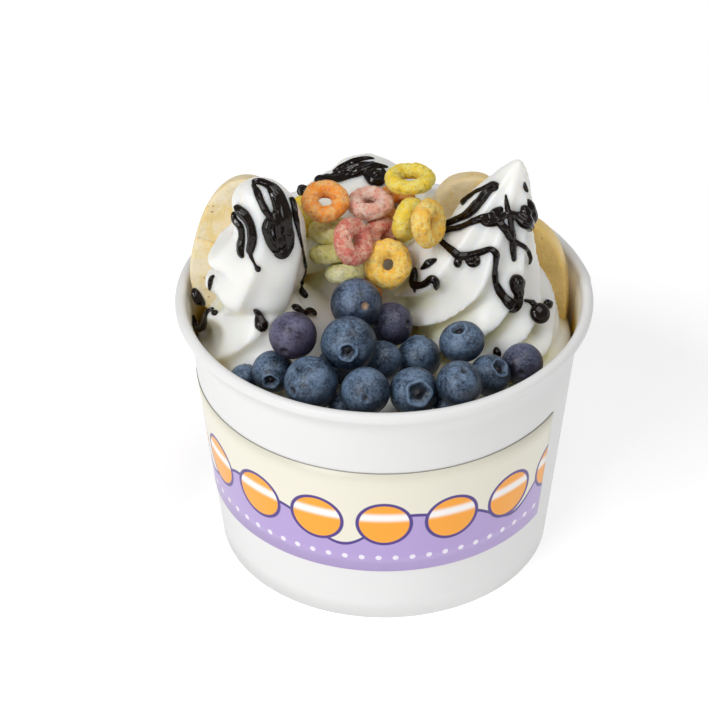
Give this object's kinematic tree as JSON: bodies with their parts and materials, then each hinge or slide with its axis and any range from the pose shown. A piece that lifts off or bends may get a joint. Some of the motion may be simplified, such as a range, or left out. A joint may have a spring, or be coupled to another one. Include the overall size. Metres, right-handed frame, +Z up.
{
  "type": "frozen yogurt cup",
  "caption": "Round paper cup filled with swirled frozen yogurt, topped with blueberries, cereal rings, banana slices and chocolate sauce.",
  "frame": {"origin": "middle of the cup's foot, on the surface that it stands on", "axes": "+Z up, -Y towards the front, where the berries are; +X to the right seen from the front"},
  "size_m": [0.116, 0.116, 0.1208],
  "materials": {
    "paper": "smooth coated white paperboard",
    "yogurt": "soft, slightly glossy frozen yogurt",
    "banana": "moist cut fruit",
    "blueberry": "waxy bloom over dark skin",
    "cereal_orange": "rough sugared cereal",
    "cereal_yellow": "rough sugared cereal",
    "cereal_pink": "rough sugared cereal",
    "cereal_lime": "rough sugared cereal",
    "chocolate": "glossy dark chocolate sauce",
    "label": "printed paper band"
  },
  "bodies": {
    "root": {"cup_wall": "paper", "cup_floor": "paper", "yogurt_base": "yogurt", "swirl_left": "yogurt", "swirl_right": "yogurt", "swirl_back": "yogurt", "banana_left": "banana", "banana_right": "banana", "banana_back": "banana", "blueberry_01": "blueberry", "blueberry_02": "blueberry", "blueberry_03": "blueberry", "blueberry_04": "blueberry", "blueberry_05": "blueberry", "blueberry_06": "blueberry", "blueberry_07": "blueberry", "blueberry_08": "blueberry", "blueberry_09": "blueberry", "blueberry_10": "blueberry", "blueberry_11": "blueberry", "blueberry_12": "blueberry", "blueberry_13": "blueberry", "blueberry_14": "blueberry", "blueberry_15": "blueberry", "blueberry_16": "blueberry", "blueberry_17": "blueberry", "blueberry_18": "blueberry", "cereal_ring_01": "cereal_orange", "cereal_ring_02": "cereal_orange", "cereal_ring_03": "cereal_lime", "cereal_ring_04": "cereal_pink", "cereal_ring_05": "cereal_lime", "cereal_ring_06": "cereal_yellow", "cereal_ring_07": "cereal_yellow", "cereal_ring_08": "cereal_yellow", "cereal_ring_09": "cereal_yellow", "cereal_ring_10": "cereal_lime", "cereal_ring_11": "cereal_pink", "cereal_ring_12": "cereal_yellow", "cereal_ring_13": "cereal_pink", "cereal_ring_14": "cereal_orange"}
  },
  "joints": []
}
